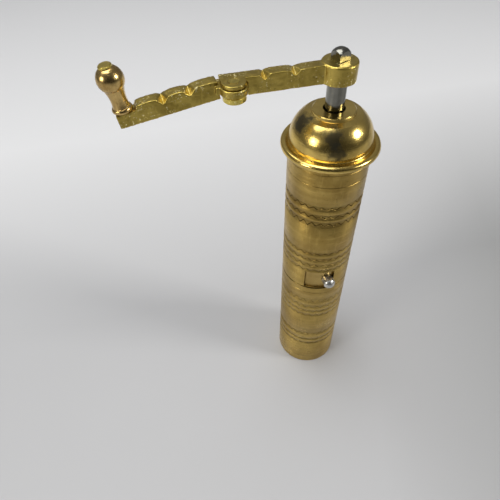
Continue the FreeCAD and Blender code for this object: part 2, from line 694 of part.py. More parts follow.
def crank_outer_arm():
    bar = scalloped_bar("outer_arm_bar", "0", "outer_length", "0", "outer_height",
                        ["outer_notch_first", "outer_notch_second"], "outer_notch_depth", seat=SEAT_LENGTH)
    bar.Placement = FreeCAD.Placement(FreeCAD.Vector(), FreeCAD.Rotation(FreeCAD.Vector(0, -1, 0), 1))
    bind(bar, Placement__Base__x="-" + SHOULDER, Placement__Base__y="outer_offset",
         Placement__Base__z=ARM_BOTTOM, Placement__Rotation__Angle="droop")
    tongue = cylinder("tongue_round", "tongue_radius", "tongue_thickness", z=TONGUE_BOTTOM)
    link = box("tongue_link", "%s + 0.5" % SHOULDER, "outer_offset + arm_width / 2", "tongue_thickness",
               x="-(%s + 2)" % SHOULDER, z=TONGUE_BOTTOM)
    blank = fuse("outer_arm_blank", bar, tongue, link)
    pivot_hole = cylinder("pivot_hole", "rivet_radius + running_clearance", "2 * tongue_thickness",
                          z="%s - tongue_thickness / 2" % TONGUE_BOTTOM)
    stud_hole = cylinder("stud_hole", "stud_radius", "3 * outer_height")
    drooped(stud_hole, "-outer_height")
    arm = cut("outer_arm_drilled", blank, pivot_hole, stud_hole)
    bind(arm, Placement__Base__x="-hinge_reach", Placement__Base__y="-hinge_offset",
         Placement__Rotation__Angle="fold_at_rest")
    finished("crank_outer_arm", arm)


def drooped(thing, along):
    # on the outer arm's own axis for the knob, while the arm is straight
    reach = "(outer_length - knob_inset)"
    x = "-%s - %s * cos(droop) - (%s) * sin(droop)" % (SHOULDER, reach, along)
    z = "%s - %s * sin(droop) + (%s) * cos(droop)" % (ARM_BOTTOM, reach, along)
    thing.Placement = FreeCAD.Placement(FreeCAD.Vector(), FreeCAD.Rotation(FreeCAD.Vector(0, -1, 0), 1))
    bind(thing, Placement__Base__x=x, Placement__Base__y="outer_offset", Placement__Base__z=z,
         Placement__Rotation__Angle="droop")


def on_knob_axis(thing, along):
    # on the knob's axis where the crank rests
    reach = "(%s + (outer_length - knob_inset) * cos(droop) + (%s) * sin(droop))" % (SHOULDER, along)
    x = "-hinge_reach - %s * cos(fold_at_rest) - outer_offset * sin(fold_at_rest)" % reach
    y = "-hinge_offset - %s * sin(fold_at_rest) + outer_offset * cos(fold_at_rest)" % reach
    z = "%s - (outer_length - knob_inset) * sin(droop) + (%s) * cos(droop)" % (ARM_BOTTOM, along)
    turn = "create(<<rotation>>; fold_at_rest; -droop; 0)"
    thing.setExpression("Placement", bound(
        "create(<<placement>>; create(<<vector>>; %s; %s; %s); %s)" % (x, y, z, turn)))


def knob():
    bore = "stud_radius + running_clearance"
    body = turned("knob_body", [
        (bore, "0"), ("knob_base_radius - knob_base_rim / 3", "0", "knob_base_radius", "knob_base_rim / 2"),
        ("knob_base_radius - knob_base_rim / 3", "knob_base_rim", "knob_waist_radius", "knob_waist_rise"),
        ("knob_neck_radius", BALL_FOOT, "knob_ball_radius", "knob_ball_rise"),
        ("knob_top_radius", BALL_TOP), (bore, BALL_TOP)])
    on_knob_axis(body, SEAT_HEIGHT + " + resting_gap")
    finished("knob", body)

    low = "-" + SEAT_HEIGHT
    head = BALL_TOP + " + 2 * resting_gap"
    top = head + " + stud_head_height"
    stud = turned("knob_stud_body", [
        ("0", low), ("stud_radius", low), ("stud_radius", head), ("stud_head_radius", head),
        ("stud_head_radius", "%s - stud_head_bevel" % top), ("stud_head_radius - stud_head_bevel", top),
        ("0", top)])
    on_knob_axis(stud, SEAT_HEIGHT)
    finished("knob_stud", stud)


receiver()
barrel()
lid()
burr_carrier()
drive()
pressure_spring()
crank_inner_arm()
crank_outer_arm()
knob()
doc.recompute()

# checks, then one file for each sub-part

for thing in doc.Objects:
    if "Invalid" in thing.State or "Error" in thing.State:
        raise RuntimeError("%s failed: %s" % (thing.Name, thing.State))

for label, thing in sub_parts.items():
    shape = thing.Shape
    if shape.isNull() or not shape.isValid() or not shape.Solids:
        raise RuntimeError("%s has no valid solid" % label)
    room = shape.BoundBox
    print("%-18s solids %d  volume %9.2f" % (label, len(shape.Solids), shape.Volume))
    print("    x %.2f..%.2f  y %.2f..%.2f  z %.2f..%.2f" % (
        room.XMin, room.XMax, room.YMin, room.YMax, room.ZMin, room.ZMax))
    shape.exportStep("parts/%s.step" % label)
print("%d sub-parts written" % len(sub_parts))
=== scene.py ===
import math
import json
import bpy
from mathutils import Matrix, Quaternion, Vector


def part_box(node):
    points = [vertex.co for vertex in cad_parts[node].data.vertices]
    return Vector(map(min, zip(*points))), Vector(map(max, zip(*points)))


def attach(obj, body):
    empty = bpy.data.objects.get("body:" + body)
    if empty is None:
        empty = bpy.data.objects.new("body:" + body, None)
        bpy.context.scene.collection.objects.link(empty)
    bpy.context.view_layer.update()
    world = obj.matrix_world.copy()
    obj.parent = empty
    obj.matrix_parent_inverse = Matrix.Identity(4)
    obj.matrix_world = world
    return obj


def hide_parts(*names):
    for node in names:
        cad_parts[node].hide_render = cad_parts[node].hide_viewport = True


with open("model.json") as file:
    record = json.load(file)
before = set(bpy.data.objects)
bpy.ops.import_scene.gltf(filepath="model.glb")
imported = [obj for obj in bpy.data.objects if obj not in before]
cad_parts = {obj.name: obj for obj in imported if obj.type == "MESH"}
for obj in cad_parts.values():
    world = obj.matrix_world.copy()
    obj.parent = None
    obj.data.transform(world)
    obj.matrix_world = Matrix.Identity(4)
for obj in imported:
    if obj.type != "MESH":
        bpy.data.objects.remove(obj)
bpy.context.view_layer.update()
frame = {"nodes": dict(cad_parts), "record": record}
nodes = frame["nodes"]
mm = 0.001
print("frame loaded:", len(nodes), "nodes")


# node helpers

def feed(tree, socket, value):
    if isinstance(value, bpy.types.NodeSocket):
        tree.links.new(value, socket)
    else:
        socket.default_value = value


def addNode(tree, kind, inputs=None, **settings):
    made = tree.nodes.new(kind)
    for name, value in settings.items():
        setattr(made, name, value)
    for name, value in (inputs or {}).items():
        feed(tree, made.inputs[name], value)
    return made


def mixColour(tree, factor, first, second):
    # a mix node's colour sockets are numbers 6 and 7, and its colour result is number 2
    made = addNode(tree, "ShaderNodeMix", data_type="RGBA")
    for index, value in ((0, factor), (6, first), (7, second)):
        feed(tree, made.inputs[index], value)
    return made.outputs[2]


def calc(tree, operation, first, second=0.0, third=0.0, clamp=False):
    made = addNode(tree, "ShaderNodeMath", operation=operation, use_clamp=clamp)
    for index, value in enumerate((first, second, third)):
        feed(tree, made.inputs[index], value)
    return made.outputs[0]


def noise(tree, place, scale, detail, **inputs):
    made = addNode(tree, "ShaderNodeTexNoise",
                   {"Vector": place, "Scale": scale, "Detail": detail, **inputs})
    return made.outputs["Fac"]


def objectPlace(tree):
    return addNode(tree, "ShaderNodeTexCoord").outputs["Object"]


def axisDistance(tree, place):
    # how far a point is from the mill's axis
    flat = addNode(tree, "ShaderNodeVectorMath", {0: place, 1: (1.0, 1.0, 0.0)}, operation="MULTIPLY")
    length = addNode(tree, "ShaderNodeVectorMath", {0: flat.outputs[0]}, operation="LENGTH")
    return length.outputs["Value"]


def ramp(tree, factor, stops):
    # each stop is a place along the ramp and a grey
    made = tree.nodes.new("ShaderNodeValToRGB")
    tree.links.new(factor, made.inputs[0])
    elements = made.color_ramp.elements
    while len(elements) < len(stops):
        elements.new(0.5)
    for element, (place, grey) in zip(elements, stops):
        element.position = place
        element.color = (grey, grey, grey, 1)
    return made.outputs[0]


def newGroup(name, inputs, outputs):
    # an input's kind follows from its default, and every output is a number
    group = bpy.data.node_groups.new(name, "ShaderNodeTree")
    for label, value in inputs.items():
        kind = "NodeSocketVector" if isinstance(value, tuple) else "NodeSocketFloat"
        socket = group.interface.new_socket(name=label, in_out="INPUT", socket_type=kind)
        socket.default_value = value
    for label in outputs:
        group.interface.new_socket(name=label, in_out="OUTPUT", socket_type="NodeSocketFloat")
    start = group.nodes.new("NodeGroupInput")
    end = group.nodes.new("NodeGroupOutput")
    return group, start.outputs, end.inputs


def placeGroup(tree, group, **values):
    made = tree.nodes.new("ShaderNodeGroup")
    made.node_tree = group
    for name, value in values.items():
        made.inputs[name.replace("_", " ")].default_value = value
    return made.outputs


# effects that several finishes share

tarnishSettings = {
    "cloud": {"detail": 5.0, "Roughness": 0.62}, "cloudEdge": [(0.38, 0), (0.66, 1)],
    "grit": {"detail": 3.0, "Roughness": 0.7}, "gritEdge": [(0.62, 0), (0.74, 1)],
}


def makeTarnish():
    # patches of darker, browner metal, and small black specks
    facts = tarnishSettings
    group, given, out = newGroup("brassTarnish", {
        "Patch Scale": 90.0, "Patch Amount": 0.5, "Speck Scale": 900.0, "Speck Amount": 0.5,
    }, ["Patches", "Specks"])
    place = objectPlace(group)
    cloud = noise(group, place, given["Patch Scale"], **facts["cloud"])
    patches = ramp(group, cloud, facts["cloudEdge"])
    group.links.new(calc(group, "MULTIPLY", patches, given["Patch Amount"]), out["Patches"])
    grit = noise(group, place, given["Speck Scale"], **facts["grit"])
    dots = ramp(group, grit, facts["gritEdge"])
    group.links.new(calc(group, "MULTIPLY", dots, given["Speck Amount"]), out["Specks"])
    return group


turningSettings = {
    "squeeze": (6.0, 6.0, 1.0), "wobbleScale": 8.0, "ringDetail": 2.0,
    "streakScale": 0.13, "streakDetail": 4.0,
}


def makeTurning():
    # fine rings left by the lathe round the mill's axis, and wider uneven streaks
    facts = turningSettings
    group, given, out = newGroup("turningLines", {"Lines Per Metre": 2500.0, "Unevenness": 0.5},
                                 ["Height", "Streaks"])
    place = objectPlace(group)
    squeezed = addNode(group, "ShaderNodeMapping", {"Vector": place, "Scale": facts["squeeze"]})
    height = addNode(group, "ShaderNodeSeparateXYZ", {0: place}).outputs["Z"]
    level = calc(group, "MULTIPLY", height, given["Lines Per Metre"])
    wobble = noise(group, squeezed.outputs[0], facts["wobbleScale"], facts["ringDetail"])
    push = calc(group, "MULTIPLY", wobble, given["Unevenness"])
    bent = addNode(group, "ShaderNodeCombineXYZ", {"X": push, "Y": push, "Z": level}).outputs[0]
    group.links.new(noise(group, bent, 1.0, facts["ringDetail"]), out["Height"])
    slow = addNode(group, "ShaderNodeVectorMath", {0: bent, "Scale": facts["streakScale"]},
                   operation="SCALE")
    group.links.new(noise(group, slow.outputs[0], 1.0, facts["streakDetail"]), out["Streaks"])
    return group


scuffSettings = {
    "directions": [((0.3, 0.9, 0.2), (9.0, 1.0, 1.0)), ((1.2, 0.1, 0.8), (1.0, 9.0, 1.0)),
                   ((0.7, 0.4, 2.1), (1.0, 1.0, 9.0))],     # how each set is turned and stretched
    "detail": 2.0, "edge": [(0.60, 0), (0.68, 1)],
}


def makeScuffs():
    # short random scratches from handling, as a mask
    facts = scuffSettings
    group, given, out = newGroup("handlingScuffs", {"Scale": 160.0, "Amount": 0.5}, ["Scratches"])
    place = objectPlace(group)
    total = None
    for turn, stretch in facts["directions"]:
        turned = addNode(group, "ShaderNodeMapping",
                         {"Vector": place, "Rotation": turn, "Scale": stretch})
        thin = ramp(group, noise(group, turned.outputs[0], given["Scale"], facts["detail"]),
                    facts["edge"])
        total = thin if total is None else calc(group, "MAXIMUM", total, thin)
    group.links.new(calc(group, "MULTIPLY", total, given["Amount"]), out["Scratches"])
    return group


grimeSettings = {
    "deepest": 4.0,         # in cut depths, where the ramp below ends
    "held": [(0.0, 0), (0.22, 1), (0.40, 1), (0.55, 0.3)],
    "breakScale": 480.0, "breakDetail": 3.0, "least": 0.35,
}


def makeCutGrime():
    # dirt that stays in cuts below the outside of a tube, from the distance to the mill's axis
    facts = grimeSettings
    group, given, out = newGroup("cutGrime", {"Outside": 0.0185, "Depth": 0.00035}, ["Grime"])
    place = objectPlace(group)
    below = calc(group, "SUBTRACT", given["Outside"], axisDistance(group, place))
    deep = calc(group, "DIVIDE", below, given["Depth"])
    amount = ramp(group, calc(group, "MULTIPLY", deep, 1 / facts["deepest"]), facts["held"])
    broken = noise(group, place, facts["breakScale"], facts["breakDetail"])
    worn = calc(group, "MULTIPLY_ADD", broken, 1.0, facts["least"], clamp=True)
    group.links.new(calc(group, "MULTIPLY", amount, worn), out["Grime"])
    return group


darkReflectionSettings = {
    "raggedScale": 330.0, "raggedDetail": 4.0, "raggedness": 1.6, "edge": [(0.45, 1), (1.0, 0)],
}


def makeBlot():
    # one painted dark reflection: a dark, ragged patch round a point of the surface, standing for a dark
    # thing in the room mirrored there
    facts = darkReflectionSettings
    group, given, out = newGroup("tarnishBlot", {
        "Centre": (0.0, 0.0, 0.0), "Radius": 0.004, "Amount": 0.8,
    }, ["Blot"])
    place = objectPlace(group)
    ragged = noise(group, place, facts["raggedScale"], facts["raggedDetail"])
    away = addNode(group, "ShaderNodeVectorMath", {0: place, 1: given["Centre"]}, operation="DISTANCE")
    far = calc(group, "DIVIDE", away.outputs["Value"], given["Radius"])
    middle = calc(group, "SUBTRACT", far, facts["raggedness"] / 2)
    mask = ramp(group, calc(group, "MULTIPLY_ADD", ragged, facts["raggedness"], middle), facts["edge"])
    group.links.new(calc(group, "MULTIPLY", mask, given["Amount"]), out["Blot"])
    return group


tarnish = makeTarnish()
darkReflection = makeBlot()
turning = makeTurning()
scuffs = makeScuffs()
cutGrime = makeCutGrime()


# the finishes

# what a brass has unless its own entry says otherwise
commonBrass = {
    "lines": 0.0, "streaks": 0.0, "pits": 0.0, "worn": 0.0, "grain": 0.0, "spread": 0.12,
    "grimeAndSeamShade": False, "darkReflections": [],
}
brassFinishes = {
    "agedBrass": {
        "light": (0.63, 0.45, 0.135), "dark": (0.34, 0.215, 0.05), "rough": 0.25,
        "patch": (42.0, 0.80), "speck": (1000.0, 0.60), "scuffs": (90.0, 0.35),
        "lines": 0.30, "streaks": 0.50, "grimeAndSeamShade": True, "grain": 0.75, "spread": 0.14,
    },
    "polishedBrass": {
        "light": (0.78, 0.57, 0.17), "dark": (0.43, 0.29, 0.07), "rough": 0.19,
        "patch": (75.0, 0.60), "speck": (900.0, 0.35), "scuffs": (120.0, 0.30),
        "lines": 0.05, "streaks": 0.20,
        # each painted dark reflection's centre, radius and strength
        "darkReflections": [((-0.0140, -0.0013, 0.1790), 0.0060, 0.90), ((-0.0050, -0.0145, 0.1778), 0.0056, 0.88),
                  ((-0.0044, -0.0167, 0.1730), 0.0056, 0.82), ((0.0110, 0.0105, 0.1782), 0.0056, 0.80)],
    },
    "castBrass": {
        "light": (0.56, 0.42, 0.100), "dark": (0.27, 0.190, 0.035), "rough": 0.30,
        "patch": (150.0, 0.75), "speck": (620.0, 0.60), "scuffs": (150.0, 0.35),
        "pits": 0.55, "worn": 0.8,
    },
    "warmBrass": {
        "light": (0.73, 0.52, 0.20), "dark": (0.32, 0.20, 0.065), "rough": 0.19,
        "patch": (120.0, 0.85), "speck": (1300.0, 0.25), "scuffs": (200.0, 0.30),
        "pits": 0.05,
    },
    "plainBrass": {
        "light": (0.56, 0.40, 0.14), "dark": (0.34, 0.22, 0.06), "rough": 0.28,
        "patch": (110.0, 0.50), "speck": (900.0, 0.30), "scuffs": (150.0, 0.20),
        "lines": 0.20, "streaks": 0.30,
    },
}
brassDetail = {
    "blackShare": 0.22,                 # black dirt, and the painted shade along the seam, are this share of the dark colour
    "scuffLift": 1.15, "scuffDepth": -0.10,
    "linesPerMetre": 2600.0, "streakEdge": (0.35, 0.65),
    "pitScale": 420.0, "pitDetail": 5.0, "pitRoughness": 0.6,
    "wornEdge": (0.525, 0.62), "wornLift": 2.0, "wornShine": -0.10,
    "nickScale": 1150.0, "nickSpread": 130.0, "nickDetail": 2.0, "nickEdge": [(0.60, 0), (0.66, 1)],
    "nickPlaces": [(0.46, 0), (0.60, 0.9)], "nickColour": (0.95, 0.85, 0.45, 1), "nickDepth": -0.25,
    "speckRough": 0.25, "darkReflectionColour": (0.062, 0.058, 0.040, 1), "darkReflectionRough": 0.16, "grimeRough": 0.30,
    "bumpDistance": 0.4 * mm, "grainTurn": 0.25,
}
# painted shade along the seam where the two tubes meet; the flat rim inside "from" stays bright
seamShade = {
    "level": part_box("receiver_tube")[1][2], "from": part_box("receiver_tube")[1][0] - 0.42 * mm,
    "width": 0.62 * mm, "edge": [(0.5, 0.85), (1.0, 0)],
}
steelFinishes = {
    "polishedSteel": {"light": (0.24, 0.235, 0.205), "dark": (0.16, 0.153, 0.13),
                      "rough": 0.13, "scratches": 0.4},
    "pinSteel": {"light": (0.70, 0.69, 0.66), "dark": (0.34, 0.33, 0.31),
                 "rough": 0.28, "scratches": 0.5},
    "burrSteel": {"light": (0.22, 0.21, 0.20), "dark": (0.12, 0.11, 0.10),
                  "rough": 0.42, "scratches": 0.3},
}
steelDetail = {
    "patch": (260.0, 0.6), "speck": (1400.0, 0.3), "speckColour": (0.03, 0.025, 0.02, 1),
    "scuffScale": 220.0, "patchRough": 0.10, "scratchRough": 0.12,
    "bumpDistance": 0.04 * mm, "bumpStrength": 0.6,
}


def startMaterial(name, metallic=1.0):
    material = bpy.data.materials.new(name)
    material.use_nodes = True
    tree = material.node_tree
    shader = tree.nodes["Principled BSDF"]
    shader.inputs["Metallic"].default_value = metallic
    return material, tree, shader


def closeMaterial(tree, shader, colour, rough, height, distance, strength=1.0):
    tree.links.new(colour, shader.inputs["Base Color"])
    tree.links.new(rough, shader.inputs["Roughness"])
    bump = addNode(tree, "ShaderNodeBump", {"Height": height, "Distance": distance, "Strength": strength})
    tree.links.new(bump.outputs[0], shader.inputs["Normal"])


def placeStains(tree, patch, speck):
    return placeGroup(tree, tarnish, Patch_Scale=patch[0], Patch_Amount=patch[1],
                      Speck_Scale=speck[0], Speck_Amount=speck[1])


def addWear(tree, light, strength, colour, rough, height):
    # edges that hands have rubbed bright, and small bright nicks
    facts = brassDetail
    sharp = addNode(tree, "ShaderNodeNewGeometry").outputs["Pointiness"]
    start, full = facts["wornEdge"]
    edges = ramp(tree, sharp, [(start, 0), (full, strength)])
    bright = [min(1.0, part * facts["wornLift"]) for part in light]
    colour = mixColour(tree, edges, colour, (*bright, 1))
    rough = calc(tree, "MULTIPLY_ADD", edges, facts["wornShine"], rough)
    place = objectPlace(tree)
    dots = ramp(tree, noise(tree, place, facts["nickScale"], facts["nickDetail"]), facts["nickEdge"])
    where = ramp(tree, noise(tree, place, facts["nickSpread"], facts["nickDetail"]), facts["nickPlaces"])
    nicks = calc(tree, "MULTIPLY", dots, where)
    colour = mixColour(tree, nicks, colour, facts["nickColour"])
    height = calc(tree, "MULTIPLY_ADD", nicks, facts["nickDepth"], height)
    return colour, rough, height


def addSeamShade(tree, colour, black):
    # a line of painted shade where the two tubes meet, for the shadow in the gap between them
    place = objectPlace(tree)
    outside = calc(tree, "GREATER_THAN", axisDistance(tree, place), seamShade["from"])
    level = addNode(tree, "ShaderNodeSeparateXYZ", {0: place}).outputs["Z"]
    away = calc(tree, "ABSOLUTE", calc(tree, "SUBTRACT", level, seamShade["level"]))
    line = ramp(tree, calc(tree, "DIVIDE", away, seamShade["width"], clamp=True), seamShade["edge"])
    return mixColour(tree, calc(tree, "MULTIPLY", line, outside), colour, black)


def makeBrass(name, facts):
    material, tree, shader = startMaterial(name)
    facts, detail = {**commonBrass, **facts}, brassDetail
    light, dark = (*facts["light"], 1), (*facts["dark"], 1)
    black = (*[part * detail["blackShare"] for part in facts["dark"]], 1)
    scuffed = (*[part * detail["scuffLift"] for part in facts["light"]], 1)
    stains = placeStains(tree, facts["patch"], facts["speck"])
    marks = placeGroup(tree, scuffs, Scale=facts["scuffs"][0], Amount=facts["scuffs"][1])
    colour = mixColour(tree, stains["Patches"], light, dark)
    colour = mixColour(tree, marks["Scratches"], colour, scuffed)
    height = calc(tree, "MULTIPLY", marks["Scratches"], detail["scuffDepth"])
    if facts["lines"]:
        rings = placeGroup(tree, turning, Lines_Per_Metre=detail["linesPerMetre"])
        start, full = detail["streakEdge"]
        soft = ramp(tree, rings["Streaks"], [(start, 0), (full, facts["streaks"])])
        colour = mixColour(tree, soft, colour, dark)
        height = calc(tree, "MULTIPLY_ADD", rings["Height"], facts["lines"], height)
    if facts["pits"]:
        lumps = noise(tree, objectPlace(tree), detail["pitScale"], detail["pitDetail"],
                      Roughness=detail["pitRoughness"])
        height = calc(tree, "MULTIPLY_ADD", lumps, facts["pits"], height)
    rough = calc(tree, "MULTIPLY_ADD", stains["Patches"], facts["spread"], facts["rough"])
    if facts["worn"]:
        colour, rough, height = addWear(tree, facts["light"], facts["worn"], colour, rough, height)
    colour = mixColour(tree, stains["Specks"], colour, black)
    rough = calc(tree, "MULTIPLY_ADD", stains["Specks"], detail["speckRough"], rough, clamp=True)
    # painted reflections of dark things in the room, laid on as dark ragged patches
    for centre, radius, amount in facts["darkReflections"]:
        paintedReflection = placeGroup(tree, darkReflection, Centre=centre, Radius=radius, Amount=amount)
        colour = mixColour(tree, paintedReflection["Blot"], colour, detail["darkReflectionColour"])
        rough = calc(tree, "MULTIPLY_ADD", paintedReflection["Blot"], detail["darkReflectionRough"], rough)
    # dirt in the engraved cuts, and painted shade along the seam where the tubes meet
    if facts["grimeAndSeamShade"]:
        dirt = placeGroup(tree, cutGrime)
        colour = mixColour(tree, dirt["Grime"], colour, black)
        # painted shade in the gap between the two tubes
        colour = addSeamShade(tree, colour, black)
        rough = calc(tree, "MULTIPLY_ADD", dirt["Grime"], detail["grimeRough"], rough, clamp=True)
    closeMaterial(tree, shader, colour, rough, height, detail["bumpDistance"])
    shader.inputs["Anisotropic"].default_value = facts["grain"]
    shader.inputs["Anisotropic Rotation"].default_value = detail["grainTurn"]
    return material


def makeSteel(name, facts):
    material, tree, shader = startMaterial(name)
    detail = steelDetail
    stains = placeStains(tree, detail["patch"], detail["speck"])
    marks = placeGroup(tree, scuffs, Scale=detail["scuffScale"], Amount=facts["scratches"])
    shade = mixColour(tree, stains["Patches"], (*facts["light"], 1), (*facts["dark"], 1))
    shade = mixColour(tree, stains["Specks"], shade, detail["speckColour"])
    rough = calc(tree, "MULTIPLY_ADD", stains["Patches"], detail["patchRough"], facts["rough"])
    rough = calc(tree, "MULTIPLY_ADD", marks["Scratches"], detail["scratchRough"], rough)
    closeMaterial(tree, shader, shade, rough, marks["Scratches"], detail["bumpDistance"],
                  detail["bumpStrength"])
    return material


finishes = {name: makeBrass(name, facts) for name, facts in brassFinishes.items()}
finishes.update({name: makeSteel(name, facts) for name, facts in steelFinishes.items()})

finishOfSlot = {
    "aged_brass": "agedBrass", "polished_brass": "polishedBrass", "plain_brass": "plainBrass",
    "cast_brass": "castBrass", "warm_brass": "warmBrass",
    "polished_steel": "polishedSteel", "burr_steel": "burrSteel",
}
brighterNodes = {"locating_pin": "pinSteel"}      # cleaner than the rest of the steel
slotOfNode = {entry["node"]: entry["material_slot"] for entry in frame["record"]["subparts"]}
for name, node in nodes.items():
    node.data.materials.clear()
    node.data.materials.append(finishes[brighterNodes.get(name, finishOfSlot[slotOfNode[name]])])
print("finishes set on the CAD nodes")


# modelling helpers

def chooseOnly(piece):
    bpy.ops.object.select_all(action="DESELECT")
    piece.select_set(True)
    bpy.context.view_layer.objects.active = piece


def pickVertices(piece, wanted):
    # leaves the piece in edit mode with the vertices selected whose place passes the test
    chooseOnly(piece)
    bpy.ops.object.mode_set(mode="EDIT")
    bpy.ops.mesh.select_mode(type="VERT")
    bpy.ops.mesh.select_all(action="DESELECT")
    bpy.ops.object.mode_set(mode="OBJECT")
    for vertex in piece.data.vertices:
        vertex.select = wanted(vertex.co)
    bpy.ops.object.mode_set(mode="EDIT")


def applyModifier(piece, kind, **settings):
    chooseOnly(piece)
    modifier = piece.modifiers.new("shape", kind)
    for key, value in settings.items():
        setattr(modifier, key, value)
    bpy.ops.object.modifier_apply(modifier=modifier.name)


def finishPiece(piece, body, node, angle):
    # the piece stands for its node and takes the node's finish; edges blunter than the angle look smooth
    chooseOnly(piece)
    bpy.ops.object.shade_smooth_by_angle(angle=math.radians(angle))
    slot = slotOfNode[node]
    piece.data.materials.clear()
    piece.data.materials.append(finishes[finishOfSlot[slot]])
    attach(piece, body)
    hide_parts(node)


def turnedShell(name, profile, segments, weld):
    # one ring is extruded from point to point of a closed profile of (radius, height)
    bpy.ops.object.select_all(action="DESELECT")
    radius, height = profile[0]
    bpy.ops.mesh.primitive_circle_add(vertices=segments, radius=radius, fill_type="NOTHING",
                                      location=(0, 0, height))
    shell = bpy.context.object
    shell.name = name
    bpy.ops.object.transform_apply(location=True, rotation=True, scale=True)
    bpy.ops.object.mode_set(mode="EDIT")
    bpy.ops.mesh.select_all(action="SELECT")
    for nextRadius, nextHeight in profile[1:] + profile[:1]:
        bpy.ops.mesh.extrude_region_move(TRANSFORM_OT_translate={"value": (0, 0, nextHeight - height)})
        change = nextRadius / radius
        bpy.ops.transform.resize(value=(change, change, 1), center_override=(0, 0, nextHeight))
        radius, height = nextRadius, nextHeight
    bpy.ops.mesh.select_all(action="SELECT")
    bpy.ops.mesh.remove_doubles(threshold=weld)
    bpy.ops.mesh.normals_make_consistent(inside=False)
    bpy.ops.object.mode_set(mode="OBJECT")
    return shell


# the two tubes, with their engraved bands

tubeSettings = {
    "segments": 224,
    "perTooth": 8,
    "tooth": {0.5: (1, 3), 1.0: (2,), -0.5: (5, 7), -1.0: (6,)},    # rise, and where along a tooth
    "unevenness": (0.80, 1.10),
    "bandDepth": 0.14 * mm,         # a band's floor below the ridges beside it
    "cutDepth": 0.30 * mm,          # the zigzag cut below the floor
    "cutHalfWidth": 0.30 * mm,
    "bandShoulder": 0.20 * mm,
    "bandMargin": 0.50 * mm,        # from the zigzag's points to the band's edge
    "lineDepth": 0.12 * mm,
    "lineHalfWidth": 0.16 * mm,
    "edgeBreak": 0.35 * mm,
    "wall": 1.2 * mm,
    "weld": 0.002 * mm,
    "reachPast": 0.02 * mm,         # so that a ring's own points are counted in
    "smoothAngle": 35.0,
}
# each band's lower and upper edge in millimetres, and how deep it still is
barrelBands = [(97.9, 100.3, 0.6), (101.7, 104.5, 0.6), (106.2, 109.0, 0.6), (110.9, 113.3, 0.6),
               (131.3, 134.7, 1.0), (136.5, 139.2, 1.0), (141.8, 144.4, 1.0)]
receiverBands = [(23.2, 25.4, 0.7), (27.9, 29.9, 0.7), (33.8, 37.0, 0.7), (55.5, 58.1, 0.5),
                 (59.9, 62.3, 0.5), (64.0, 67.1, 0.5), (69.5, 73.5, 0.5)]
barrelLines = [155.5, 162.0]
receiverLines = [6.5, 79.5]


def makeBandedTube(name, low, high, radius, bands, lines):
    facts = tubeSettings
    half = facts["cutHalfWidth"]
    features = [(bottom * mm, top * mm, strength) for bottom, top, strength in bands]
    features += [(level * mm, level * mm, 0) for level in lines]
    profile = [(radius - facts["edgeBreak"], low), (radius, low + facts["edgeBreak"])]
    for bottom, top, strength in sorted(features):
        if not strength:
            width = facts["lineHalfWidth"]
            profile += [(radius, bottom - width), (radius - facts["lineDepth"], bottom),
                        (radius, bottom + width)]
            continue
        floor = radius - facts["bandDepth"] * strength
        cut = floor - facts["cutDepth"] * strength
        middle = (bottom + top) / 2
        shoulder = facts["bandShoulder"]
        profile += [(radius, bottom - shoulder), (floor, bottom), (floor, middle - half), (cut, middle),
                    (floor, middle + half), (floor, top), (radius, top + shoulder)]
    profile += [(radius, high - facts["edgeBreak"]), (radius - facts["edgeBreak"], high),
                (radius - facts["wall"], high), (radius - facts["wall"], low)]
    tube = turnedShell(name, profile, facts["segments"], facts["weld"])

    # the three rings in the middle of a band are pulled up and down into a zigzag, a little unevenly
    step = 2 * math.pi / facts["segments"]
    inside = radius - facts["wall"] / 2
    near = half + facts["reachPast"]
    for bottom, top, strength in sorted(features):
        if not strength:
            continue
        middle = (bottom + top) / 2
        swing = (top - bottom) / 2 - facts["bandMargin"]
        for height, phases in facts["tooth"].items():
            for turn, share in enumerate(facts["unevenness"]):
                def onTooth(place):
                    if abs(place.z - middle) > near or place.xy.length < inside:
                        return False
                    segment = round(math.atan2(place.y, place.x) / step) % facts["segments"]
                    tooth, phase = divmod(segment, facts["perTooth"])
                    # the teeth that take the second share follow no simple pattern
                    return phase in phases and tooth * 5 % 7 % 2 == turn
                pickVertices(tube, onTooth)
                bpy.ops.transform.translate(value=(0, 0, height * share * swing))
                bpy.ops.object.mode_set(mode="OBJECT")
    return tube


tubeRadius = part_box("receiver_tube")[1][0]
receiverLow, receiverHigh = (corner[2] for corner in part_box("receiver_tube"))
receiverSkin = makeBandedTube("receiverSkin", receiverLow, receiverHigh, tubeRadius, receiverBands,
                              receiverLines)
finishPiece(receiverSkin, "receiver", "receiver_tube", tubeSettings["smoothAngle"])

# angles in degrees round the mill's axis; the cutter runs from inner to outer and starts below the tube
notchSettings = {"start": -127.4, "span": 49.9, "height": 13.4 * mm, "inner": 10 * mm, "outer": 26 * mm,
                 "below": 2 * mm}


def cutNotch(tube, seam):
    facts = notchSettings
    inner, outer = facts["inner"], facts["outer"]
    low, high = seam - facts["below"], seam + facts["height"]
    half = math.radians(facts["span"] / 2)
    bpy.ops.object.select_all(action="DESELECT")
    bpy.ops.mesh.primitive_cube_add(size=1)
    wedge = bpy.context.object
    wedge.scale = (outer - inner, 2 * inner * math.sin(half), high - low)
    wedge.location = ((outer + inner) / 2, 0, (low + high) / 2)
    bpy.ops.object.transform_apply(location=True, rotation=True, scale=True)
    # the far side is widened so that both cheeks point at the axis
    pickVertices(wedge, lambda place: place.x > (inner + outer) / 2)
    bpy.ops.transform.resize(value=(1, outer / inner, 1), center_override=(0, 0, 0))
    bpy.ops.mesh.select_all(action="SELECT")
    bpy.ops.transform.resize(value=(math.cos(half), 1, 1), center_override=(0, 0, 0))
    bpy.ops.object.mode_set(mode="OBJECT")
    wedge.rotation_euler = (0, 0, math.radians(facts["start"]) + half)
    bpy.ops.object.transform_apply(location=True, rotation=True, scale=True)
    applyModifier(tube, "BOOLEAN", object=wedge, operation="DIFFERENCE", solver="EXACT")
    bpy.data.objects.remove(wedge)


